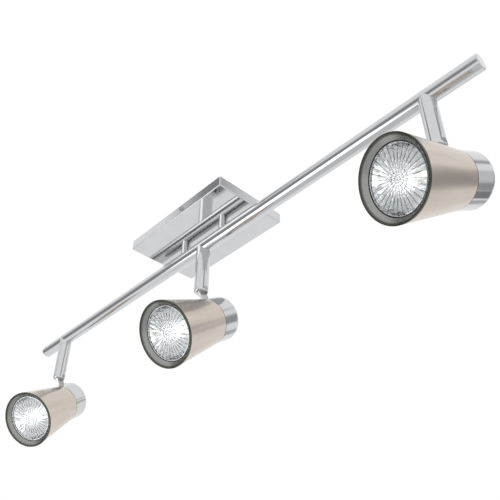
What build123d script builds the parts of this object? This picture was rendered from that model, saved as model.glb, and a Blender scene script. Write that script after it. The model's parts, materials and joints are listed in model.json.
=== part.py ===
from build123d import *
from math import cos, radians, sin, sqrt
import os

# Three-spot ceiling light on a straight round bar.
# All sizes are millimetres. The origin is the centre of the canopy where it meets the
# ceiling, +Z is up into the ceiling, +X runs along the bar and the spots face -Y.
# Left is -X and right is +X.

os.makedirs("parts", exist_ok=True)

# Fits
running = 0.05  # radial clearance of a part that turns on another
side_play = 0.1  # clearance each side of a part that turns in a slot or on a face

# Canopy: a shallow folded tray, open towards the ceiling
canopy_length = 142.0
canopy_width = 82.0
canopy_height = 11.0
canopy_sheet = 0.8
canopy_bend = 1.0
side_screw_offset = 13.0
side_screw_drop = 5.2

# Ceiling bracket: a strap across the canopy with an ear at each end
bracket_width = 36.0
bracket_sheet = 1.5
bracket_gap = 0.3
ear_height = 8.6
mount_spacing = 48.0
mount_slot_width = 4.5
mount_slot_length = 11.0
supply_hole_radius = 7.0
earth_screw_place = 12.5

# Small screws
side_screw_radius = 1.5
side_screw_length = 6.0
side_screw_head_width = 5.0
side_screw_head_height = 1.6
earth_screw_radius = 1.75
earth_screw_head_width = 6.0
earth_screw_head_height = 2.0
driver_slot_width = 0.8
driver_slot_depth = 0.7

# Terminal block
block_wall_gap = 5.7
block_width = 17.0
block_length = 30.0
block_height = 7.4
block_round = 1.0
pole_pitch = 10.0
pole_height = 2.8
pole_bore_radius = 1.7
terminal_screw_radius = 1.6
terminal_screw_length = 3.4
terminal_screw_offset = 5.0

# Posts between the canopy and the bar
post_spacing = 60.0
post_diameter = 9.5
post_gap = 6.75
post_stud_radius = 3.5
post_bore_radius = 2.4
nut_width = 10.0
nut_height = 3.0
stud_end = 0.8

# Bar
bar_length = 636.0
bar_diameter = 14.5
bar_wall = 1.0
end_cap_flange = 3.0
end_cap_spigot = 8.0
end_cap_round = 0.9

# Live and neutral leads, from the terminal block through the left post into the bar
lead_radius = 0.9
lead_spread = 1.15
lead_bend = 2.5
lead_lift = 2.4
lead_entry = 5.0
lead_drop_in = 7.0

# Arms, from the bar down to the tilt pivot
arm_spacing = 270.0
arm_diameter = 14.4
arm_wall = 1.0
swivel_drop = 3.0
pivot_drop = 53.0
knuckle_shoulder = 2.6
knuckle_tip = 3.0
knuckle_round = 2.6
knuckle_spigot = 9.5
plug_radius = 5.5
plug_height = 4.75
neck_radius = 4.0
neck_bore_radius = 2.5
neck_root = 8.0
clip_groove_depth = 0.6
clip_radius = 5.2
clip_thickness = 1.2
neck_top_land = 0.8
clip_opening = 60.0
pivot_pin_radius = 1.3
pivot_head_width = 4.6
pivot_head_height = 1.5
pivot_slot_depth = 0.4

# Heads
head_length = 84.0
head_below_pivot = 31.8
head_before_pivot = 69.0
ring_width = 5.4
ring_length = 2.2
ring_front_width = 1.0
ring_bevel_depth = 4.4
ring_spigot = 4.0
ring_edge_round = 0.3
lamp_clearance = 0.6
shell_length = 58.8
shell_rear_radius = 22.1
shell_wall = 1.2
cap_radius = 21.9
cap_wall = 1.8
cap_floor = 2.4
cap_round = 5.0
cap_groove_depth = 0.9
cap_groove_width = 0.8
cap_spigot = 5.0
vent_count = 6
vent_circle = 12.0
vent_length = 8.0
vent_width = 2.2
lead_hole_radius = 1.8
lead_hole_place = 8.0
tongue_thickness = 3.0
tongue_width = 9.0
tongue_foot_width = 11.0
tongue_foot_height = 1.8

# Lamp: a two-pin 50 mm reflector lamp, and its holder
lamp_radius = 25.0
lamp_recess = 4.9
lamp_length = 47.5
lamp_rim = 2.2
lens_rim = 0.4
lens_thickness = 1.6
lens_set_back = 0.2
lens_ledge = 1.0
bowl_depth = 29.0
bowl_wall = 1.2
bowl_middle_radius = 20.8
bowl_step = 0.5
base_neck_radius = 12.0
base_tip_radius = 9.5
base_flange = 3.0
base_step = 1.0
burner_radius = 4.5
burner_tip = 13.0
burner_round = 4.0
burner_foot = 5.0
pin_spacing = 10.0
pin_radius = 1.5
pin_head_radius = 2.5
pin_head_height = 2.4
pin_length = 7.0
pin_root = 5.0
pin_play = 0.3
lamp_twist = 18.0
holder_radius = 17.0
holder_length = 14.0
holder_gap = 0.2
holder_lip = 2.2
holder_chamber = 8.6
pillar_spacing = 24.0
pillar_radius = 2.6
pillar_stud_radius = 1.5
pillar_stud_length = 4.0

# Name, place along the bar, turn from straight ahead and tilt from level of each spot
spots = (
    ("left", -arm_spacing, 20.0, -37.0),
    ("centre", 0.0, 2.0, -33.5),
    ("right", arm_spacing, -15.5, -22.5),
)

# Worked-out sizes
upward = (Align.CENTER, Align.CENTER, Align.MIN)
downward = (Align.CENTER, Align.CENTER, Align.MAX)
outward = (Align.CENTER, Align.MIN, Align.CENTER)
inward = (Align.CENTER, Align.MAX, Align.CENTER)
bar_radius = bar_diameter / 2
bar_bore_radius = bar_radius - bar_wall
bar_z = -(canopy_height + post_gap + bar_radius)
tube_length = bar_length - 2 * end_cap_flange
arm_radius = arm_diameter / 2
arm_bore_radius = arm_radius - arm_wall
post_places = [(-post_spacing / 2, 0), (post_spacing / 2, 0)]
arm_places = [(place, 0, bar_z) for name, place, turn, tilt in spots]
canopy_floor = canopy_sheet - canopy_height
block_place = canopy_sheet + block_wall_gap + block_width / 2 - canopy_length / 2
ear_outside = canopy_width / 2 - canopy_sheet - bracket_gap
swivel_z = bar_z - bar_radius - swivel_drop
arm_top_z = swivel_z - side_play
plug_top_z = bar_z - bar_radius + plug_height
pivot_z = bar_z - pivot_drop
shoulder_z = pivot_z + knuckle_shoulder
tip_z = pivot_z - knuckle_tip
slot_width = tongue_thickness + 2 * side_play
slot_reach = tongue_width / 2 + 4 * side_play
opening_radius = lamp_radius + lamp_clearance
ring_radius = opening_radius + ring_width
lens_radius = lamp_radius - lens_rim
seam = head_before_pivot - ring_length - shell_length
rear = head_before_pivot - head_length
lamp_front = head_before_pivot - lamp_recess
lamp_end = lamp_front - lamp_length
holder_front = lamp_end - holder_gap
holder_rear = holder_front - holder_length


def save(piece, name):
    """Label a finished piece and write it as its own STEP file."""
    piece.part.label = name
    export_step(piece.part, f"parts/{name}.step")


# --- Ceiling canopy, bracket and screws ---------------------------------------------

with BuildPart() as canopy:
    Box(canopy_length, canopy_width, canopy_height, align=downward)
    fillet(canopy.edges().filter_by(Axis.Z), canopy_bend)
    fillet(canopy.faces().sort_by(Axis.Z)[0].edges(), canopy_bend)
    inside_length = canopy_length - 2 * canopy_sheet
    inside_width = canopy_width - 2 * canopy_sheet
    Box(inside_length, inside_width, -canopy_floor, align=downward, mode=Mode.SUBTRACT)
    with Locations((0, 0, canopy_floor)):
        with Locations(*post_places):
            Cylinder(post_stud_radius, canopy_height, mode=Mode.SUBTRACT)
    for side in (-1, 1):
        with Locations((-side * side_screw_offset, side * canopy_width / 2, -side_screw_drop)):
            Cylinder(side_screw_radius, 3 * canopy_sheet, rotation=(90, 0, 0), mode=Mode.SUBTRACT)
save(canopy, "canopy")

with BuildPart() as ceiling_bracket:
    Box(bracket_width, 2 * ear_outside, bracket_sheet, align=downward)
    for side in (-1, 1):
        with Locations((0, side * (ear_outside - bracket_sheet / 2), 0)):
            Box(bracket_width, bracket_sheet, ear_height, align=downward)
        with Locations((-side * side_screw_offset, side * ear_outside, -side_screw_drop)):
            Cylinder(side_screw_radius, 3 * bracket_sheet, rotation=(90, 0, 0), mode=Mode.SUBTRACT)
    with BuildSketch():
        with Locations((0, -mount_spacing / 2), (0, mount_spacing / 2)):
            SlotOverall(mount_slot_length, mount_slot_width, rotation=90)
        Circle(supply_hole_radius)
        with Locations((earth_screw_place, 0)):
            Circle(earth_screw_radius)
    extrude(amount=-bracket_sheet, mode=Mode.SUBTRACT)
save(ceiling_bracket, "ceiling_bracket")

side_screw_planes = [
    Plane(origin=(-side * side_screw_offset, side * canopy_width / 2, -side_screw_drop), z_dir=(0, side, 0))
    for side in (-1, 1)
]
with BuildPart(*side_screw_planes) as canopy_side_screws:
    Cylinder(side_screw_head_width / 2, side_screw_head_height, align=upward)
    Cylinder(side_screw_radius, side_screw_length, align=downward)
    with Locations((0, 0, side_screw_head_height)):
        Box(side_screw_head_width, driver_slot_width, driver_slot_depth, align=downward, mode=Mode.SUBTRACT)
save(canopy_side_screws, "canopy_side_screws")

with BuildPart(Plane(origin=(earth_screw_place, 0, -bracket_sheet), z_dir=(0, 0, -1))) as earth_screw:
    Cylinder(earth_screw_head_width / 2, earth_screw_head_height, align=upward)
    Cylinder(earth_screw_radius, bracket_sheet - side_play, align=downward)
    with Locations((0, 0, earth_screw_head_height)):
        Box(earth_screw_head_width, driver_slot_width, driver_slot_depth, align=downward, mode=Mode.SUBTRACT)
save(earth_screw, "earth_screw")

# --- Terminal block -------------------------------------------------------------------

block_plane = Plane(origin=(block_place, 0, canopy_floor))
pole_rows = [pole * pole_pitch for pole in (-1, 0, 1)]
terminal_screw_places = [(side * terminal_screw_offset, row) for row in pole_rows for side in (-1, 1)]
with BuildPart(block_plane) as terminal_block:
    Box(block_width, block_length, block_height, align=upward)
    fillet(terminal_block.edges().filter_by(Axis.Z), block_round)
    with Locations(*[(0, row, pole_height) for row in pole_rows]):
        Cylinder(pole_bore_radius, 2 * block_width, rotation=(0, 90, 0), mode=Mode.SUBTRACT)
    with Locations((0, 0, pole_height)):
        with Locations(*terminal_screw_places):
            Cylinder(terminal_screw_radius, block_height, align=upward, mode=Mode.SUBTRACT)
save(terminal_block, "terminal_block")

with BuildPart(block_plane.offset(pole_height + lead_radius)) as terminal_screws:
    with Locations(*terminal_screw_places):
        Cylinder(terminal_screw_radius, terminal_screw_length, align=upward)
    with Locations((0, 0, terminal_screw_length)):
        with Locations(*terminal_screw_places):
            Box(pole_pitch / 2, driver_slot_width, driver_slot_depth, align=downward, mode=Mode.SUBTRACT)
save(terminal_screws, "terminal_screws")

# --- Bar, end caps and posts ------------------------------------------------------------

with BuildPart() as bar_tube:
    with Locations((0, 0, bar_z)):
        Cylinder(bar_radius, tube_length, rotation=(0, 90, 0))
        Cylinder(bar_bore_radius, tube_length, rotation=(0, 90, 0), mode=Mode.SUBTRACT)
    with Locations(*arm_places):
        Cylinder(plug_radius, bar_diameter, align=downward, mode=Mode.SUBTRACT)
    with Locations((0, 0, bar_z)):
        with Locations(*post_places):
            Cylinder(post_stud_radius, bar_diameter, align=upward, mode=Mode.SUBTRACT)
save(bar_tube, "bar_tube")

end_planes = [Plane(origin=(side * tube_length / 2, 0, bar_z), z_dir=(side, 0, 0)) for side in (-1, 1)]
with BuildPart(*end_planes) as bar_end_caps:
    Cylinder(bar_radius, end_cap_flange, align=upward)
    cap_rims = bar_end_caps.edges().group_by(Axis.X)
    fillet(cap_rims[0] + cap_rims[-1], end_cap_round)
    Cylinder(bar_bore_radius, end_cap_spigot, align=downward)
save(bar_end_caps, "bar_end_caps")

stud_top = nut_height + stud_end
post_end_z = bar_z + sqrt(bar_bore_radius**2 - post_stud_radius**2) - side_play
for name, place in (("left_post", -post_spacing / 2), ("right_post", post_spacing / 2)):
    with BuildPart(Plane(origin=(place, 0, bar_z))) as post:
        Cylinder(post_diameter / 2, -canopy_height - bar_z, align=upward)
        Cylinder(bar_radius, 2 * post_diameter, rotation=(0, 90, 0), mode=Mode.SUBTRACT)
        with Locations((0, 0, post_end_z - bar_z)):
            Cylinder(post_stud_radius, canopy_floor + stud_top - post_end_z, align=upward)
        Cylinder(post_bore_radius, -2 * bar_z, mode=Mode.SUBTRACT)
    save(post, name)

with BuildPart(*[Plane(origin=(x, y, canopy_floor)) for x, y in post_places]) as post_nuts:
    with BuildSketch(*[Plane(origin=(x, y, canopy_floor)) for x, y in post_places]):
        RegularPolygon(nut_width / 2, 6, major_radius=False)
        Circle(post_stud_radius, mode=Mode.SUBTRACT)
    extrude(amount=nut_height)
save(post_nuts, "post_nuts")

# --- Leads ------------------------------------------------------------------------------

lead_bar_z = bar_z + lead_lift
lead_over_nut_z = canopy_floor + stud_top + 2 * lead_radius
lead_pole_z = canopy_floor + pole_height
lead_exit = block_place + block_width / 2 + lead_entry
with BuildPart() as bar_leads:
    for side in (-1, 1):
        with BuildLine() as feed:
            FilletPolyline(
                (block_place, side * pole_pitch, lead_pole_z),
                (lead_exit, side * pole_pitch, lead_pole_z),
                (-post_spacing / 2 - lead_drop_in, side * lead_spread, lead_over_nut_z),
                (-post_spacing / 2, side * lead_spread, lead_over_nut_z),
                (-post_spacing / 2, side * lead_spread, lead_bar_z),
                radius=lead_bend,
            )
        with BuildSketch(Plane(origin=feed.line @ 0, z_dir=feed.line % 0)):
            Circle(lead_radius)
        sweep()
        with Locations((0, side * lead_spread, lead_bar_z)):
            Cylinder(lead_radius, 2 * arm_spacing, rotation=(0, 90, 0))
save(bar_leads, "bar_leads")


# --- Arms -------------------------------------------------------------------------------


def build_arm(name, place, turn):
    """Swivel boss, neck, clip, tube, knuckle and pivot screw of one arm.

    The arm's own plane has x across the tilt slot, y to the rear and z up.
    """
    boss_plane = Plane(origin=(place, 0, 0))
    arm_plane = Plane(origin=(place, 0, 0), x_dir=(cos(radians(turn)), sin(radians(turn)), 0))

    with BuildPart(boss_plane) as swivel_boss:
        with Locations((0, 0, swivel_z)):
            Cylinder(arm_radius, bar_z - swivel_z, align=upward)
        with Locations((0, 0, bar_z)):
            Cylinder(bar_radius, 2 * arm_diameter, rotation=(0, 90, 0), mode=Mode.SUBTRACT)
        with Locations((0, 0, swivel_z)):
            Cylinder(plug_radius, plug_top_z - swivel_z, align=upward)
            Cylinder(neck_radius + running, bar_diameter, align=upward, mode=Mode.SUBTRACT)
    save(swivel_boss, f"{name}_swivel_boss")

    groove_bottom = plug_top_z + side_play
    groove_top = groove_bottom + clip_thickness
    with BuildPart(arm_plane) as arm_neck:
        with Locations((0, 0, arm_top_z)):
            Cylinder(arm_bore_radius, neck_root, align=downward)
            Cylinder(neck_radius, groove_top + neck_top_land - arm_top_z, align=upward)
        with Locations((0, 0, groove_bottom)):
            Cylinder(neck_radius, clip_thickness, align=upward, mode=Mode.SUBTRACT)
            Cylinder(neck_radius - clip_groove_depth, clip_thickness, align=upward)
        Cylinder(neck_bore_radius, -2 * pivot_z, mode=Mode.SUBTRACT)
    save(arm_neck, f"{name}_arm_neck")

    clip_plane = arm_plane.offset(groove_bottom)
    with BuildPart(clip_plane) as swivel_clip:
        Cylinder(clip_radius, clip_thickness, align=upward)
        Cylinder(neck_radius - clip_groove_depth, clip_thickness, align=upward, mode=Mode.SUBTRACT)
        mouth = 2 * (neck_radius - clip_groove_depth) * sin(radians(clip_opening / 2))
        with Locations((0, clip_radius, 0)):
            Box(mouth, 2 * clip_radius, clip_thickness, align=upward, mode=Mode.SUBTRACT)
    save(swivel_clip, f"{name}_swivel_clip")

    with BuildPart(arm_plane) as arm_tube:
        with Locations((0, 0, arm_top_z)):
            Cylinder(arm_radius, arm_top_z - shoulder_z, align=downward)
            Cylinder(arm_bore_radius, arm_top_z - shoulder_z, align=downward, mode=Mode.SUBTRACT)
        with Locations((0, arm_radius, pivot_z)):
            Box(slot_width, arm_diameter, 2 * slot_reach, mode=Mode.SUBTRACT)
    save(arm_tube, f"{name}_arm_tube")

    with BuildPart(arm_plane) as knuckle:
        with Locations((0, 0, tip_z)):
            Cylinder(arm_radius, shoulder_z - tip_z, align=upward)
        fillet(knuckle.edges().sort_by(Axis.Z)[0], knuckle_round)
        with Locations((0, 0, shoulder_z)):
            Cylinder(arm_bore_radius, knuckle_spigot, align=upward)
        with Locations((0, -slot_reach, pivot_z + slot_reach)):
            Box(slot_width, 2 * arm_diameter, 2 * slot_reach + knuckle_tip,
                align=(Align.CENTER, Align.MIN, Align.MAX), mode=Mode.SUBTRACT)
        with Locations((0, 0, pivot_z)):
            Cylinder(pivot_pin_radius, arm_diameter, rotation=(0, 90, 0), mode=Mode.SUBTRACT)
        with Locations((arm_radius - pivot_head_height, 0, pivot_z)):
            Cylinder(pivot_head_width / 2, arm_radius, rotation=(0, 90, 0), align=upward, mode=Mode.SUBTRACT)
        with Locations((0, 0, pivot_z)):
            Cylinder(neck_bore_radius, pivot_drop, align=upward, mode=Mode.SUBTRACT)
    save(knuckle, f"{name}_knuckle")

    under_head = arm_plane.from_local_coords((arm_radius - pivot_head_height, 0, pivot_z))
    screw_plane = Plane(origin=under_head, z_dir=arm_plane.x_dir)
    with BuildPart(screw_plane) as pivot_screw:
        Cylinder(pivot_pin_radius, 2 * arm_radius - 2 * pivot_head_height, align=downward)
        Cylinder(pivot_head_width / 2, pivot_head_height / 2, align=upward)
        with Locations((0, 0, pivot_head_height / 2)):
            Box(pivot_head_width, driver_slot_width, pivot_slot_depth, align=downward, mode=Mode.SUBTRACT)
    save(pivot_screw, f"{name}_pivot_screw")


# --- Heads ------------------------------------------------------------------------------


def shell_radius(z):
    """Outer radius of the tapered head at a place along its axis, from seam to front."""
    share = (z - seam) / (head_before_pivot - seam)
    return shell_rear_radius + share * (ring_radius - shell_rear_radius)


def head_planes(place, turn, tilt):
    """The head's plane, and its section plane for turned profiles.

    The head's plane lies on the lamp's axis abreast of the tilt pivot, with x to the
    side, y up through the pivot and z along the beam. The section plane has x as the
    radius and y along the beam.
    """
    side = Vector(cos(radians(turn)), sin(radians(turn)), 0)
    ahead = Vector(sin(radians(turn)), -cos(radians(turn)), 0)
    beam = ahead * cos(radians(tilt)) + Vector(0, 0, sin(radians(tilt)))
    up = beam.cross(side)
    centre = Vector(place, 0, pivot_z) - up * head_below_pivot
    head = Plane(origin=centre, x_dir=side, z_dir=beam)
    section = Plane(origin=centre, x_dir=side, z_dir=side.cross(beam))
    return head, section


def build_head(name, head, section):
    """Tongue, rear cap, shell, front ring and lamp holder of one head."""
    axis = Axis(head.origin, head.z_dir)

    cap_bore = cap_radius - cap_wall
    with BuildPart(head) as tongue:
        foot_top = sqrt(cap_bore**2 - (tongue_foot_width / 2) ** 2)
        with Locations((0, foot_top, 0)):
            Box(tongue_foot_width, tongue_foot_height, tongue_width, align=inward)
            Box(tongue_thickness, head_below_pivot - foot_top, tongue_width, align=outward)
        with Locations((0, head_below_pivot, 0)):
            Cylinder(tongue_width / 2, tongue_thickness, rotation=(0, 90, 0))
            Cylinder(pivot_pin_radius + running, arm_diameter, rotation=(0, 90, 0), mode=Mode.SUBTRACT)
    save(tongue, f"{name}_tongue")

    spigot_radius = shell_rear_radius - shell_wall
    groove_radius = cap_radius - cap_groove_depth
    groove_edge = seam - cap_groove_width
    with BuildPart(head) as rear_cap:
        with BuildSketch(section):
            Polygon(
                (0, rear), (cap_radius, rear), (cap_radius, groove_edge), (groove_radius, groove_edge),
                (groove_radius, seam), (spigot_radius, seam), (spigot_radius, seam + cap_spigot),
                (spigot_radius - cap_wall, seam + cap_spigot), (spigot_radius - cap_wall, seam - cap_wall),
                (cap_bore, seam - 2 * cap_wall), (cap_bore, rear + cap_floor), (0, rear + cap_floor),
                align=None,
            )
            fillet(vertices().group_by(Axis.Y)[0].sort_by(Axis.X)[-1], cap_round)
        revolve(axis=axis)
        with BuildSketch(head.offset(rear)):
            with PolarLocations(vent_circle, vent_count, start_angle=180 / vent_count):
                SlotOverall(vent_length, vent_width)
        extrude(amount=cap_floor, mode=Mode.SUBTRACT)
        with Locations((-pillar_spacing / 2, 0, rear + cap_floor), (pillar_spacing / 2, 0, rear + cap_floor)):
            Cylinder(pillar_radius, holder_rear - rear - cap_floor, align=upward)
            Cylinder(pillar_stud_radius, holder_rear - rear - cap_floor + pillar_stud_length, align=upward)
        with Locations((0, cap_radius, 0)):
            Box(tongue_thickness, 4 * cap_wall, tongue_width, mode=Mode.SUBTRACT)
        with Locations((0, cap_radius, -lead_hole_place)):
            Cylinder(lead_hole_radius, 4 * cap_wall, rotation=(90, 0, 0), mode=Mode.SUBTRACT)
    save(rear_cap, f"{name}_rear_cap")

    ring_back = head_before_pivot - ring_length
    with BuildPart() as head_shell:
        with BuildSketch(section):
            Polygon(
                (shell_radius(seam), seam), (shell_radius(ring_back), ring_back),
                (shell_radius(ring_back) - shell_wall, ring_back), (shell_radius(seam) - shell_wall, seam),
                align=None,
            )
        revolve(axis=axis)
    save(head_shell, f"{name}_head_shell")

    plug_end = ring_back - ring_spigot
    ring_plug = shell_radius(plug_end) - shell_wall
    with BuildPart() as front_ring:
        with BuildSketch(section):
            Polygon(
                (opening_radius, plug_end), (opening_radius, head_before_pivot - ring_bevel_depth),
                (ring_radius - ring_front_width, head_before_pivot), (ring_radius, head_before_pivot),
                (shell_radius(ring_back), ring_back), (ring_plug, ring_back), (ring_plug, plug_end),
                align=None,
            )
            fillet(vertices().group_by(Axis.Y)[-1], ring_edge_round)
        revolve(axis=axis)
    save(front_ring, f"{name}_front_ring")

    # The pins enter at the open end of each track and are held at its closed end.
    tracks = [
        CenterArc((0, 0), pin_spacing / 2, start, lamp_twist, mode=Mode.PRIVATE) for start in (0, 180)
    ]
    with BuildPart(head) as lamp_holder:
        with Locations((0, 0, holder_rear)):
            Cylinder(holder_radius, holder_length, align=upward)
        with BuildSketch(head.offset(holder_front)):
            for track in tracks:
                SlotArc(track, 2 * (pin_radius + pin_play))
            with PolarLocations(pin_spacing / 2, 2, start_angle=lamp_twist):
                Circle(pin_head_radius + pin_play)
        extrude(amount=-holder_lip, mode=Mode.SUBTRACT)
        with BuildSketch(head.offset(holder_front - holder_lip)):
            for track in tracks:
                SlotArc(track, 2 * (pin_head_radius + pin_play))
        extrude(amount=holder_lip - holder_chamber, mode=Mode.SUBTRACT)
        with Locations((-pillar_spacing / 2, 0, holder_rear), (pillar_spacing / 2, 0, holder_rear)):
            Cylinder(pillar_stud_radius, pillar_stud_length, align=upward, mode=Mode.SUBTRACT)
    save(lamp_holder, f"{name}_lamp_holder")


def build_lamp(name, head, section):
    """Reflector, lens, base, pins and burner of one lamp."""
    axis = Axis(head.origin, head.z_dir)
    bowl_back = lamp_front - bowl_depth
    ledge_z = lamp_front - lens_set_back - lens_thickness
    rim_back = lamp_front - lamp_rim
    bowl_middle = (rim_back + bowl_back) / 2
    bowl_outside = [
        (base_neck_radius, bowl_back), (bowl_middle_radius, bowl_middle), (lamp_radius - bowl_step, rim_back)
    ]
    bowl_inside = [
        (lens_radius - lens_ledge, ledge_z), (bowl_middle_radius - bowl_wall, bowl_middle),
        (base_neck_radius - bowl_wall, bowl_back),
    ]

    with BuildPart() as lamp_reflector:
        with BuildSketch(section):
            with BuildLine():
                Line(bowl_inside[-1], bowl_outside[0])
                ThreePointArc(*bowl_outside)
                Polyline(
                    bowl_outside[-1], (lamp_radius, rim_back), (lamp_radius, lamp_front),
                    (lens_radius, lamp_front), (lens_radius, ledge_z), bowl_inside[0],
                )
                ThreePointArc(*bowl_inside)
            make_face()
        revolve(axis=axis)
    save(lamp_reflector, f"{name}_lamp_reflector")

    with BuildPart(head) as lamp_lens:
        with Locations((0, 0, ledge_z)):
            Cylinder(lens_radius, lens_thickness, align=upward)
    save(lamp_lens, f"{name}_lamp_lens")

    base_front = bowl_back - base_flange
    burner_seat = bowl_back - burner_foot
    pin_places = [(side * pin_spacing / 2, 0, lamp_end) for side in (-1, 1)]
    with BuildPart(head) as lamp_base:
        with BuildSketch(section):
            Polygon(
                (0, lamp_end), (base_tip_radius, lamp_end), (base_neck_radius - base_step, base_front),
                (base_neck_radius, base_front), (base_neck_radius, bowl_back),
                (burner_radius, bowl_back), (burner_radius, burner_seat), (0, burner_seat),
                align=None,
            )
        revolve(axis=axis)
        with Locations(*pin_places):
            Cylinder(pin_radius, pin_root, align=upward, mode=Mode.SUBTRACT)
    save(lamp_base, f"{name}_lamp_base")

    with BuildPart(head) as lamp_pins:
        with Locations(*[(x, y, z + pin_root) for x, y, z in pin_places]):
            Cylinder(pin_radius, pin_root + pin_length, align=downward)
        with Locations(*[(x, y, z - pin_length) for x, y, z in pin_places]):
            Cylinder(pin_head_radius, pin_head_height, align=upward)
    save(lamp_pins, f"{name}_lamp_pins")

    burner_top = lamp_front - burner_tip
    with BuildPart(head) as burner:
        with Locations((0, 0, burner_seat)):
            Cylinder(burner_radius, burner_top - burner_seat, align=upward)
        fillet(burner.faces().sort_by(axis)[-1].edges(), burner_round)
    save(burner, f"{name}_burner")


for name, place, turn, tilt in spots:
    build_arm(name, place, turn)
    head, section = head_planes(place, turn, tilt)
    build_head(name, head, section)
    build_lamp(name, head, section)
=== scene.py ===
import json
from math import cos, pi, radians, sin

import bpy
from mathutils import Matrix, Vector


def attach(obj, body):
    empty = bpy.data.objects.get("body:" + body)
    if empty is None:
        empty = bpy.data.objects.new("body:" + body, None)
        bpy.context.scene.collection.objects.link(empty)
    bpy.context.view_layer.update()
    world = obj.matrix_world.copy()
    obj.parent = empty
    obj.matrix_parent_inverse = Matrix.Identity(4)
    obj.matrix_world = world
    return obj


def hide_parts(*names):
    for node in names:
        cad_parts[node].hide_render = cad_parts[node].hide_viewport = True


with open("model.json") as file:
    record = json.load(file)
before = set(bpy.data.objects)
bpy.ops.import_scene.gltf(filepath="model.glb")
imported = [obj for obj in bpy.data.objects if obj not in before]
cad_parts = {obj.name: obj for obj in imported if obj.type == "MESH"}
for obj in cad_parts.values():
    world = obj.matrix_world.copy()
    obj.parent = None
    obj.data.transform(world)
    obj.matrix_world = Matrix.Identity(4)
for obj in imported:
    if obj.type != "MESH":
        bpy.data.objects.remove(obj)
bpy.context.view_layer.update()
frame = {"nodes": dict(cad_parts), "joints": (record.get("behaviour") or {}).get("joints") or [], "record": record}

MM = 0.001
SPOTS = ("left", "centre", "right")
BEVEL_EDGE = 29.4 * MM


# --- Node helpers -----------------------------------------------------------------------


def new_material(name):
    """A node material with one Principled shader, returned as (material, tree, shader)."""
    material = bpy.data.materials.new(name)
    material.use_nodes = True
    tree = material.node_tree
    tree.nodes.clear()
    shader = tree.nodes.new("ShaderNodeBsdfPrincipled")
    output = tree.nodes.new("ShaderNodeOutputMaterial")
    tree.links.new(shader.outputs[0], output.inputs["Surface"])
    return material, tree, shader


def coordinates(tree, rotation=None, place=(0, 0, 0), scale=(1, 1, 1)):
    """The object's coordinates, optionally turned into a head's own axes."""
    source = tree.nodes.new("ShaderNodeTexCoord").outputs["Object"]
    if rotation is not None:
        turn = tree.nodes.new("ShaderNodeMapping")
        turn.vector_type = "TEXTURE"
        turn.inputs["Location"].default_value = place
        turn.inputs["Rotation"].default_value = rotation
        tree.links.new(source, turn.inputs["Vector"])
        source = turn.outputs["Vector"]
    stretch = tree.nodes.new("ShaderNodeMapping")
    stretch.inputs["Scale"].default_value = scale
    tree.links.new(source, stretch.inputs["Vector"])
    return stretch.outputs["Vector"]


def noise(tree, vector, scale, detail=3.0, roughness=0.55):
    """A noise texture's factor."""
    node = tree.nodes.new("ShaderNodeTexNoise")
    node.inputs["Scale"].default_value = scale
    node.inputs["Detail"].default_value = detail
    node.inputs["Roughness"].default_value = roughness
    tree.links.new(vector, node.inputs["Vector"])
    return node.outputs["Fac"]


def spread(tree, factor, low, high, start=0.3, end=0.7):
    """A factor mapped from start to end on to low to high."""
    node = tree.nodes.new("ShaderNodeMapRange")
    node.inputs["From Min"].default_value = start
    node.inputs["From Max"].default_value = end
    node.inputs["To Min"].default_value = low
    node.inputs["To Max"].default_value = high
    tree.links.new(factor, node.inputs["Value"])
    return node.outputs["Result"]


def blend_colours(tree, factor, stops):
    """A colour ramp over a factor; stops are (place, (r, g, b))."""
    node = tree.nodes.new("ShaderNodeValToRGB")
    ramp = node.color_ramp
    while len(ramp.elements) < len(stops):
        ramp.elements.new(0.5)
    for element, (place, colour) in zip(ramp.elements, stops):
        element.position = place
        element.color = (*colour, 1.0)
    tree.links.new(factor, node.inputs["Fac"])
    return node.outputs["Color"]


def maths(tree, operation, first, second=None):
    """A math node over one or two outputs."""
    node = tree.nodes.new("ShaderNodeMath")
    node.operation = operation
    tree.links.new(first, node.inputs[0])
    if second is not None:
        tree.links.new(second, node.inputs[1])
    return node.outputs[0]


def mix_colours(tree, factor, first, second):
    """Mixes two colour outputs."""
    node = tree.nodes.new("ShaderNodeMix")
    node.data_type = "RGBA"
    tree.links.new(factor, node.inputs["Factor"])
    tree.links.new(first, node.inputs["A"])
    tree.links.new(second, node.inputs["B"])
    return node.outputs["Result"]


def bump(tree, shader, height, strength, distance):
    """Raises the surface by a height factor."""
    node = tree.nodes.new("ShaderNodeBump")
    node.inputs["Strength"].default_value = strength
    node.inputs["Distance"].default_value = distance
    tree.links.new(height, node.inputs["Height"])
    tree.links.new(node.outputs["Normal"], shader.inputs["Normal"])


def paint(target, material):
    """Gives an object one material."""
    target.data.materials.clear()
    target.data.materials.append(material)


# --- Materials --------------------------------------------------------------------------


def chrome(name, colour, shine=0.05, haze=0.03):
    """Polished plating with faint haze and a slight ripple."""
    material, tree, shader = new_material(name)
    vector = coordinates(tree)
    cloud = noise(tree, vector, 60.0, detail=4.0)
    tint = blend_colours(tree, cloud, [(0.3, tuple(c * 0.95 for c in colour)), (0.7, colour)])
    tree.links.new(tint, shader.inputs["Base Color"])
    fine = noise(tree, vector, 420.0, detail=2.0)
    tree.links.new(spread(tree, fine, shine, shine + haze), shader.inputs["Roughness"])
    shader.inputs["Metallic"].default_value = 1.0
    bump(tree, shader, noise(tree, vector, 110.0, detail=1.0), 0.05, 0.0002)
    return material


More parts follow.
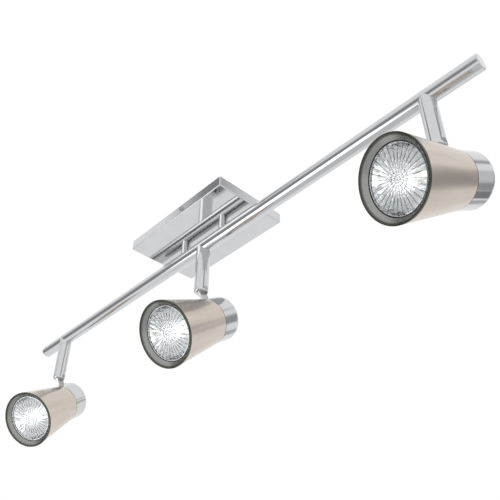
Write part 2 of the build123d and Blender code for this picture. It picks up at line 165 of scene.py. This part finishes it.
def plated_steel(name, colour, roughness=0.3, grain=(1, 1, 1)):
    """Zinc or nickel plated steel with cloudy patches and rolling lines."""
    material, tree, shader = new_material(name)
    vector = coordinates(tree, scale=grain)
    cloud = noise(tree, vector, 180.0, detail=5.0)
    tint = blend_colours(tree, cloud, [(0.3, tuple(c * 0.82 for c in colour)), (0.7, colour)])
    tree.links.new(tint, shader.inputs["Base Color"])
    tree.links.new(spread(tree, cloud, roughness - 0.08, roughness + 0.1), shader.inputs["Roughness"])
    shader.inputs["Metallic"].default_value = 1.0
    bump(tree, shader, noise(tree, vector, 900.0), 0.12, 0.0002)
    return material


def satin_nickel(name, rotation, place):
    """Warm satin plating with soft streaks of painted reflection along the head."""
    material, tree, shader = new_material(name)
    brushed = coordinates(tree, rotation, place, scale=(1, 1, 30))
    along = coordinates(tree, rotation, place, scale=(14, 14, 1))
    lines = noise(tree, brushed, 120.0, detail=4.0, roughness=0.7)
    # painted reflection: darker and lighter streaks of colour along the head stand in for the studio mirrored in
    # the plating
    painted_reflection_streaks = noise(tree, along, 12.0, detail=3.0)
    colour = blend_colours(tree, painted_reflection_streaks, [(0.25, (0.55, 0.485, 0.425)), (0.75, (0.64, 0.575, 0.515))])
    tree.links.new(colour, shader.inputs["Base Color"])
    tree.links.new(spread(tree, lines, 0.20, 0.26), shader.inputs["Roughness"])
    shader.inputs["Metallic"].default_value = 1.0
    bump(tree, shader, lines, 0.02, 0.0001)
    return material


def gunmetal(name, rotation, place):
    """Dark plated ring with a satin turned finish, lighter on the bevel inside its lip."""
    material, tree, shader = new_material(name)
    turned = coordinates(tree, rotation, place, scale=(1, 1, 20))
    lines = noise(tree, turned, 160.0, detail=3.0)
    lip = blend_colours(tree, lines, [(0.3, (0.055, 0.058, 0.046)), (0.7, (0.085, 0.088, 0.074))])
    bevel = blend_colours(tree, lines, [(0.3, (0.28, 0.285, 0.275)), (0.7, (0.36, 0.365, 0.35))])
    radius, _ = head_radius(tree, rotation, place)
    outside = spread(tree, radius, 0.0, 1.0, start=BEVEL_EDGE - 1.2 * MM, end=BEVEL_EDGE)
    tree.links.new(mix_colours(tree, outside, bevel, lip), shader.inputs["Base Color"])
    tree.links.new(spread(tree, lines, 0.22, 0.32), shader.inputs["Roughness"])
    shader.inputs["Metallic"].default_value = 0.9
    bump(tree, shader, lines, 0.08, 0.0001)
    return material


def plastic(name, colour, roughness, grain=500.0, depth=0.08):
    """Moulded plastic with a fine texture and uneven gloss."""
    material, tree, shader = new_material(name)
    vector = coordinates(tree)
    cloud = noise(tree, vector, 90.0, detail=4.0)
    tint = blend_colours(tree, cloud, [(0.3, tuple(c * 0.93 for c in colour)), (0.7, colour)])
    tree.links.new(tint, shader.inputs["Base Color"])
    tree.links.new(spread(tree, cloud, roughness - 0.06, roughness + 0.06), shader.inputs["Roughness"])
    bump(tree, shader, noise(tree, vector, grain), depth, 0.0002)
    return material


def capsule_glass(name, roughness, haze, painted_glow):
    """Quartz with a faint tint and haze, and a faint painted glow as if lit from inside."""
    material, tree, shader = new_material(name)
    vector = coordinates(tree)
    cloud = noise(tree, vector, 70.0)
    tint = blend_colours(tree, cloud, [(0.3, (0.95, 0.97, 0.97)), (0.7, (0.99, 1.0, 1.0))])
    tree.links.new(tint, shader.inputs["Base Color"])
    tree.links.new(spread(tree, cloud, roughness, roughness + haze), shader.inputs["Roughness"])
    shader.inputs["IOR"].default_value = 1.5
    shader.inputs["Transmission Weight"].default_value = 1.0
    # painted glow: a little emission brightens the capsule as if the lamp were switched on
    shader.inputs["Emission Color"].default_value = (1.0, 0.99, 0.97, 1.0)
    shader.inputs["Emission Strength"].default_value = painted_glow
    return material


def head_radius(tree, rotation, place):
    """Distance from a head's axis, and the axis-centred coordinates it comes from."""
    local = coordinates(tree, rotation, place, scale=(1, 1, 0))
    length = tree.nodes.new("ShaderNodeVectorMath")
    length.operation = "LENGTH"
    tree.links.new(local, length.inputs[0])
    return length.outputs["Value"], local


def faceted_silver(name, rotation, place):
    """Vapour-deposited reflector coating, ending in a plain pressed-glass rim."""
    material, tree, shader = new_material(name)
    cloud = noise(tree, coordinates(tree), 200.0, detail=3.0)
    silver = blend_colours(tree, cloud, [(0.3, (0.88, 0.89, 0.90)), (0.7, (0.96, 0.965, 0.97))])
    bare = blend_colours(tree, cloud, [(0.3, (0.66, 0.68, 0.68)), (0.7, (0.78, 0.80, 0.80))])
    radius, _ = head_radius(tree, rotation, place)
    rim = spread(tree, radius, 0.0, 1.0, start=24.3 * MM, end=24.5 * MM)
    tree.links.new(mix_colours(tree, rim, silver, bare), shader.inputs["Base Color"])
    tree.links.new(spread(tree, cloud, 0.12, 0.22), shader.inputs["Roughness"])
    shader.inputs["Metallic"].default_value = 1.0
    return material


def moulded_glass(name, rotation, place):
    """The ribbed front glass: clear, with darker joints between its ribs."""
    material, tree, shader = new_material(name)
    cloud = noise(tree, coordinates(tree), 150.0)
    clear = blend_colours(tree, cloud, [(0.3, (0.93, 0.95, 0.95)), (0.7, (0.99, 1.0, 1.0))])
    faint = blend_colours(tree, cloud, [(0.32, (0.16, 0.17, 0.17)), (0.68, (0.75, 0.76, 0.76))])
    radius, local = head_radius(tree, rotation, place)
    split = tree.nodes.new("ShaderNodeSeparateXYZ")
    tree.links.new(local, split.inputs[0])
    angle = maths(tree, "ARCTAN2", split.outputs["Y"], split.outputs["X"])
    within = maths(tree, "FRACT", spread(tree, angle, 0.0, RIBS, start=-pi, end=pi))
    beside = maths(tree, "ABSOLUTE", spread(tree, within, -1.0, 1.0, start=0.0, end=1.0))
    joint = spread(tree, beside, 0.0, 1.0, start=0.68, end=0.98)
    ribbed = spread(tree, radius, 0.0, 1.0, start=6.0 * MM, end=15.0 * MM)
    colour = mix_colours(tree, maths(tree, "MULTIPLY", joint, ribbed), clear, faint)
    tree.links.new(colour, shader.inputs["Base Color"])
    tree.links.new(spread(tree, cloud, 0.03, 0.10), shader.inputs["Roughness"])
    shader.inputs["Transmission Weight"].default_value = 1.0
    shader.inputs["IOR"].default_value = 1.5
    return material


# --- Heads' own axes --------------------------------------------------------------------


def head_axes(spot):
    """Origin and rotation of a head, from its lamp's twist joint and its tilt joint."""
    joints = {j["name"]: j for j in frame["joints"]}
    twist = joints[f"{spot}_lamp_twist"]
    beam = Vector(twist["axis"]).normalized()
    side = -Vector(joints[f"{spot}_tilt"]["axis"]).normalized()
    up = beam.cross(side)
    turn = Matrix((side, up, beam)).transposed()
    return Vector(twist["pos_m"]), turn


def place_of_head(spot):
    """A head's rotation and origin, as a texture mapping takes them."""
    origin, turn = head_axes(spot)
    return turn.to_euler(), origin


def place_in_head(target, spot):
    """Moves a mesh made in a head's own axes to its place in the shared frame."""
    origin, turn = head_axes(spot)
    target.data.transform(Matrix.Translation(origin) @ turn.to_4x4())
    target.data.update()


# --- Lamp pieces, in a head's own axes, sizes in millimetres ------------------------------


LAMP_RADIUS = 25.0
LAMP_FRONT = 64.1
LENS_BACK = 62.3
BOWL_BACK = 35.12
BOWL_INSIDE = ((23.6, 62.3), (19.6, 48.5), (10.8, 35.5))
BOWL_OUTSIDE = ((12.0, 35.12), (20.8, 48.5), (24.5, 61.9))
NECK_RADIUS = 5.2
RIM_WALL = 0.35
RIM_CHAMFER = 0.1
SECTORS = 30
FACET_COLUMNS = 4
FACET_ROWS = (62.3, 51.0, 44.5, 40.0, 37.2, 35.5)
FACET_STEPS = 4
FACET_SWELL = 0.055
OUTSIDE_STEPS = 10
RIBS = 32
RIB_COLUMNS = 6
RIB_STEPS = 5
RIB_DEPTH = 0.25
RIB_FLOOR = 62.80
# Rings of ribs on the back of the front glass: inner and outer radius, and how many ribs join into one
RIB_ZONES = ((0.05, 2.4, 4), (2.4, 5.2, 2), (5.2, 8.4, 2), (8.4, 23.7, 1))
LENS_FRONT = (
    (24.0, 62.5), (24.4, 62.55), (24.58, 62.7), (24.58, 63.3), (24.4, 63.55), (24.0, 63.66),
    (16.0, 63.80), (8.0, 63.87), (0.05, 63.9),
)
CAPSULE_COLUMNS = 32
# The quartz capsule from its seal to its tip: radius, place, and how flat it is pressed across its seal
CAPSULE = (
    (4.3, 30.15, 0.40), (4.4, 30.6, 0.42), (4.4, 33.6, 0.44), (4.3, 34.4, 0.62), (4.42, 35.4, 0.86),
    (4.5, 36.8, 1.0), (4.5, 46.4, 1.0), (4.2, 47.9, 1.0), (3.4, 49.1, 1.0), (2.2, 49.9, 1.0),
    (1.2, 50.2, 1.0), (0.8, 50.6, 1.0), (0.45, 50.95, 1.0), (0.1, 51.08, 1.0),
)
COIL_TURNS = 9
COIL_STEPS = 12
COIL_RADIUS = 0.75
COIL_LOW = 40.5
COIL_HIGH = 45.5
WIRE_RADIUS = 0.16
WIRE_IN = ((1.6, 0, 31.0), (1.6, 0, 38.0), (1.4, 0, 39.6))
WIRE_OUT = (
    (0.2, 0, 46.4), (-1.6, 0, 46.6), (-2.2, 0, 46.0), (-2.2, 0, 38.0), (-1.6, 0, 36.0), (-1.6, 0, 31.0),
)


def curve_radius(points, z):
    """Radius at a place along the axis, on the parabola through three (radius, z) points."""
    total = 0.0
    for radius, place in points:
        share = radius
        for _, other in points:
            if other != place:
                share *= (z - other) / (place - other)
        total += share
    return total


def rings(profile, columns):
    """Points of a turned profile, ring by ring; each entry is (radius, z)."""
    return [
        (radius * cos(2 * pi * column / columns), radius * sin(2 * pi * column / columns), z)
        for radius, z in profile
        for column in range(columns)
    ]


def join_rings(count, columns, closed):
    """Faces between neighbouring rings, with the last joined to the first or both ends capped."""
    faces = []
    for ring in range(count if closed else count - 1):
        near, far = ring * columns, (ring + 1) % count * columns
        for column in range(columns):
            beside = (column + 1) % columns
            faces.append((near + column, near + beside, far + beside, far + column))
    if not closed:
        faces.append(tuple(reversed(range(columns))))
        faces.append(tuple((count - 1) * columns + column for column in range(columns)))
    return faces


def rod(points, radius, sides=6):
    """Points and faces of a round wire along a path."""
    vertices = []
    for index, point in enumerate(points):
        before = points[max(index - 1, 0)]
        after = points[min(index + 1, len(points) - 1)]
        along = (after - before).normalized()
        across = along.orthogonal() if index == 0 else across - along * across.dot(along)
        across.normalize()
        over = along.cross(across)
        for side in range(sides):
            angle = 2 * pi * side / sides
            vertices.append(tuple(point + across * radius * cos(angle) + over * radius * sin(angle)))
    return vertices, join_rings(len(points), sides, closed=False)


def add_piece(name, vertices, faces, material, spot, crease=30.0):
    """A mesh piece made in a head's own axes, put in place on that head's lamp."""
    mesh = bpy.data.meshes.new(name)
    mesh.from_pydata([tuple(MM * value for value in vertex) for vertex in vertices], [], faces)
    mesh.polygons.foreach_set("use_smooth", [True] * len(mesh.polygons))
    mesh.set_sharp_from_angle(angle=radians(crease))
    mesh.update()
    piece = bpy.data.objects.new(name, mesh)
    bpy.context.scene.collection.objects.link(piece)
    place_in_head(piece, spot)
    paint(piece, material)
    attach(piece, f"{spot}_lamp")
    return piece


def add_reflector(spot):
    """The faceted bowl: rows of pillowed facets inside, smooth outside, with a thin rim."""
    columns = SECTORS * FACET_COLUMNS
    vertices = []
    for row, (front, back) in enumerate(zip(FACET_ROWS, FACET_ROWS[1:])):
        first = 0 if row == 0 else 1
        for step in range(first, FACET_STEPS + 1):
            v = step / FACET_STEPS
            z = front + (back - front) * v
            radius = curve_radius(BOWL_INSIDE, z)
            width = 2 * pi * radius / SECTORS
            for column in range(columns):
                u = column % FACET_COLUMNS / FACET_COLUMNS
                swell = FACET_SWELL * width * 4 * u * (1 - u) * (4 * v * (1 - v)) ** 0.5
                angle = 2 * pi * column / columns
                inner = radius - swell
                vertices.append((inner * cos(angle), inner * sin(angle), z))
    outside = [(NECK_RADIUS, BOWL_BACK + 0.2), (NECK_RADIUS, BOWL_BACK)]
    start, end = BOWL_OUTSIDE[0][1], BOWL_OUTSIDE[-1][1]
    for step in range(OUTSIDE_STEPS + 1):
        z = start + (end - start) * step / OUTSIDE_STEPS
        outside.append((curve_radius(BOWL_OUTSIDE, z), z))
    outside += [
        (LAMP_RADIUS - RIM_CHAMFER, end),
        (LAMP_RADIUS, end + RIM_CHAMFER),
        (LAMP_RADIUS, LAMP_FRONT - 1.5 * RIM_CHAMFER),
        (LAMP_RADIUS - RIM_CHAMFER, LAMP_FRONT),
        (LAMP_RADIUS - RIM_WALL, LAMP_FRONT),
        (LAMP_RADIUS - RIM_WALL, LENS_BACK - 0.02),
    ]
    vertices += rings(outside, columns)
    faces = join_rings(len(vertices) // columns, columns, closed=True)
    piece = add_piece(
        f"{spot}_faceted_reflector", vertices, faces, faceted_silver(f"{spot}_silver", *place_of_head(spot)),
        spot, crease=12.0,
    )
    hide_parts(f"{spot}_lamp_reflector")


def add_lens(spot):
    """The front glass: smooth in front, with radial ribs and small pads moulded on its back."""
    columns = RIBS * RIB_COLUMNS
    vertices = []
    for inner, outer, merged in RIB_ZONES:
        last = outer == RIB_ZONES[-1][1]
        for step in range(RIB_STEPS + 1 if last else RIB_STEPS):
            v = step / RIB_STEPS
            radius = inner + (outer - inner) * v
            for column in range(columns):
                u = column % (RIB_COLUMNS * merged) / (RIB_COLUMNS * merged)
                swell = RIB_DEPTH * (4 * u * (1 - u) * min(1.0, 12 * v * (1 - v))) ** 0.5
                angle = 2 * pi * column / columns
                vertices.append((radius * cos(angle), radius * sin(angle), RIB_FLOOR - swell))
    vertices += rings(LENS_FRONT, columns)
    piece = add_piece(
        f"{spot}_front_glass", vertices, join_rings(len(vertices) // columns, columns, closed=False),
        moulded_glass(f"{spot}_glass", *place_of_head(spot)), spot, crease=20.0,
    )
    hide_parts(f"{spot}_lamp_lens")


def add_burner(spot):
    """The quartz capsule with its flat seal and tip, and the coiled filament on its two wires."""
    flats = {place: flat for _, place, flat in CAPSULE}
    profile = [(radius, place) for radius, place, _ in CAPSULE]
    vertices = [(x, y * flats[z], z) for x, y, z in rings(profile, CAPSULE_COLUMNS)]
    piece = add_piece(
        f"{spot}_capsule", vertices, join_rings(len(profile), CAPSULE_COLUMNS, closed=False),
        materials["burner_glass"], spot,
    )
    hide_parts(f"{spot}_burner")

    path = [Vector(point) for point in WIRE_IN]
    for step in range(COIL_TURNS * COIL_STEPS + 1):
        angle = 2 * pi * step / COIL_STEPS
        z = COIL_LOW + (COIL_HIGH - COIL_LOW) * step / (COIL_TURNS * COIL_STEPS)
        path.append(Vector((COIL_RADIUS * cos(angle), COIL_RADIUS * sin(angle), z)))
    path += [Vector(point) for point in WIRE_OUT]
    vertices, faces = rod(path, WIRE_RADIUS)
    add_piece(f"{spot}_filament", vertices, faces, materials["tungsten"], spot, crease=60.0)


CHROME = (0.63, 0.635, 0.645)
materials = {
    "canopy_chrome": chrome("canopy_chrome", CHROME),
    "bar_chrome": chrome("bar_chrome", CHROME),
    "arm_chrome": chrome("arm_chrome", CHROME),
    "cap_chrome": chrome("cap_chrome", CHROME),
    "tongue_steel": plated_steel("tongue_steel", (0.55, 0.55, 0.55), 0.25),
    "zinc_steel": plated_steel("zinc_steel", (0.58, 0.60, 0.62), 0.35, grain=(1, 6, 6)),
    "screw_steel": plated_steel("screw_steel", (0.56, 0.56, 0.57), 0.22),
    "brass_screw": plated_steel("brass_screw", (0.72, 0.55, 0.26), 0.30),
    "spring_steel": plated_steel("spring_steel", (0.22, 0.22, 0.25), 0.35),
    "block_plastic": plastic("block_plastic", (0.82, 0.82, 0.78), 0.45),
    "holder_ceramic": plastic("holder_ceramic", (0.86, 0.84, 0.78), 0.6, grain=900.0, depth=0.15),
    "lamp_ceramic": plastic("lamp_ceramic", (0.88, 0.88, 0.86), 0.35, grain=700.0, depth=0.1),
    "burner_glass": capsule_glass("burner_glass", 0.02, 0.06, 0.4),
    "pin_metal": plated_steel("pin_metal", (0.62, 0.62, 0.61), 0.25),
    "tungsten": plated_steel("tungsten", (0.34, 0.33, 0.32), 0.35),
    "lead_insulation": plastic("lead_insulation", (0.80, 0.78, 0.70), 0.4),
}

node_slots = {entry["node"]: entry["material_slot"] for entry in frame["record"]["subparts"]}
for node, slot in node_slots.items():
    if slot in materials:
        paint(frame["nodes"][node], materials[slot])

for spot in SPOTS:
    paint(frame["nodes"][f"{spot}_head_shell"], satin_nickel(f"{spot}_satin_nickel", *place_of_head(spot)))
    paint(frame["nodes"][f"{spot}_front_ring"], gunmetal(f"{spot}_gunmetal", *place_of_head(spot)))
    add_reflector(spot)
    add_lens(spot)
    add_burner(spot)


# --- Stage, light and camera ------------------------------------------------------------


def make_floor(size, height):
    """A plain pale floor below the camera."""
    mesh = bpy.data.meshes.new("floor")
    half = size / 2
    corners = [(-half, -half, height), (half, -half, height), (half, half, height), (-half, half, height)]
    mesh.from_pydata(corners, [], [(0, 1, 2, 3)])
    floor = bpy.data.objects.new("floor", mesh)
    bpy.context.scene.collection.objects.link(floor)
    material, tree, shader = new_material("floor")
    shade = noise(tree, coordinates(tree), 6.0)
    tree.links.new(
        blend_colours(tree, shade, [(0.3, (0.865, 0.865, 0.865)), (0.7, (0.88, 0.88, 0.88))]),
        shader.inputs["Base Color"],
    )
    shader.inputs["Roughness"].default_value = 0.8
    paint(floor, material)
    floor.visible_glossy = False


# Darker parts of the studio: azimuth from and to, elevation from and to, softness and level
STUDIO_PANELS = (
    (-152, -98, -20, 13, 4, 0.32),
    (-152, -98, 13, 26, 4, 0.72),
    (49, 66, -14, 27, 3, 0.40),
    (34, 49, -8, 20, 3, 0.72),
    (31, 42, 36, 46, 3, 0.45),
    (66, 84, -17, -7, 2, 0.28),
    (68, 76, 12, 19, 2, 0.60),
    (88, 106, -11, -4, 2, 0.55),
    (-12, -1, 6, 62, 3, 0.15),
    (-144, -128, 33, 48, 2, 0.30),
    (-200, 200, -100, -48, 8, 0.72),
)
STUDIO_STRENGTH = 1.02
FLOOR_SIZE = 16.0
FLOOR_HEIGHT = -0.75
FILL_PLACE = (-0.45, -0.78, -0.62)
FILL_TARGET = (0, 0, -0.07)
CAMERA_PLACE = Vector((0.41654, -0.32879, -0.42073))
CAMERA_AZIMUTH = radians(46.552)
CAMERA_ELEVATION = radians(-36.594)
CAMERA_ROLL = radians(0.188)
CAMERA_LENS = 46.21


def window(tree, value, low, high, soft):
    """One between two angles in degrees, fading to zero over the softness."""
    rise = spread(tree, value, 0.0, 1.0, start=radians(low - soft), end=radians(low + soft))
    fall = spread(tree, value, 1.0, 0.0, start=radians(high - soft), end=radians(high + soft))
    return maths(tree, "MULTIPLY", rise, fall)


def make_world():
    """A white studio with a few soft dark panels for the plating to mirror."""
    world = bpy.data.worlds.new("studio")
    bpy.context.scene.world = world
    world.use_nodes = True
    tree = world.node_tree
    tree.nodes.clear()
    output = tree.nodes.new("ShaderNodeOutputWorld")
    background = tree.nodes.new("ShaderNodeBackground")
    split = tree.nodes.new("ShaderNodeSeparateXYZ")
    tree.links.new(tree.nodes.new("ShaderNodeTexCoord").outputs["Generated"], split.inputs[0])
    azimuth = maths(tree, "ARCTAN2", split.outputs["Y"], split.outputs["X"])
    elevation = maths(tree, "ARCSINE", split.outputs["Z"])
    level = None
    for west, east, low, high, soft, darkness in STUDIO_PANELS:
        across = window(tree, azimuth, west, east, soft)
        upright = window(tree, elevation, low, high, soft)
        inside = maths(tree, "MULTIPLY", across, upright)
        panel = spread(tree, inside, 1.0, darkness, start=0.0, end=1.0)
        level = panel if level is None else maths(tree, "MULTIPLY", level, panel)
    shade = blend_colours(tree, level, [(0.0, (0.0, 0.0, 0.01)), (1.0, (1.0, 1.0, 1.0))])
    tree.links.new(shade, background.inputs["Color"])
    background.inputs["Strength"].default_value = STUDIO_STRENGTH
    plain = tree.nodes.new("ShaderNodeBackground")
    seen = tree.nodes.new("ShaderNodeMixShader")
    tree.links.new(tree.nodes.new("ShaderNodeLightPath").outputs["Is Camera Ray"], seen.inputs[0])
    tree.links.new(background.outputs[0], seen.inputs[1])
    tree.links.new(plain.outputs[0], seen.inputs[2])
    tree.links.new(seen.outputs[0], output.inputs["Surface"])
    plain.inputs["Color"].default_value = (1.0, 1.0, 1.0, 1.0)
    plain.inputs["Strength"].default_value = STUDIO_STRENGTH


def add_light(name, place, target, size, power):
    """A soft square light aimed at a point."""
    data = bpy.data.lights.new(name, "AREA")
    data.shape = "SQUARE"
    data.size = size
    data.energy = power
    light = bpy.data.objects.new(name, data)
    light.location = place
    light.rotation_euler = (Vector(target) - Vector(place)).to_track_quat("-Z", "Y").to_euler()
    light.visible_camera = False
    bpy.context.scene.collection.objects.link(light)


def add_camera(place, azimuth, elevation, roll, lens):
    """The camera, by its place and by the direction from the object back to it."""
    data = bpy.data.cameras.new("camera")
    data.lens = lens
    data.sensor_width = 36.0
    camera = bpy.data.objects.new("camera", data)
    bpy.context.scene.collection.objects.link(camera)
    back = Vector((
        sin(azimuth) * cos(elevation),
        -cos(azimuth) * cos(elevation),
        sin(elevation),
    ))
    level = Vector((0, 0, 1)).cross(back).normalized()
    rise = back.cross(level)
    right = level * cos(roll) + rise * sin(roll)
    up = rise * cos(roll) - level * sin(roll)
    camera.matrix_world = Matrix.Translation(place) @ Matrix((right, up, back)).transposed().to_4x4()
    data.clip_start = 0.01
    bpy.context.scene.camera = camera


make_floor(FLOOR_SIZE, FLOOR_HEIGHT)
make_world()
add_light("fill", FILL_PLACE, FILL_TARGET, size=0.7, power=1.9)
add_camera(CAMERA_PLACE, CAMERA_AZIMUTH, CAMERA_ELEVATION, CAMERA_ROLL, CAMERA_LENS)
bpy.context.scene.view_settings.view_transform = "Standard"
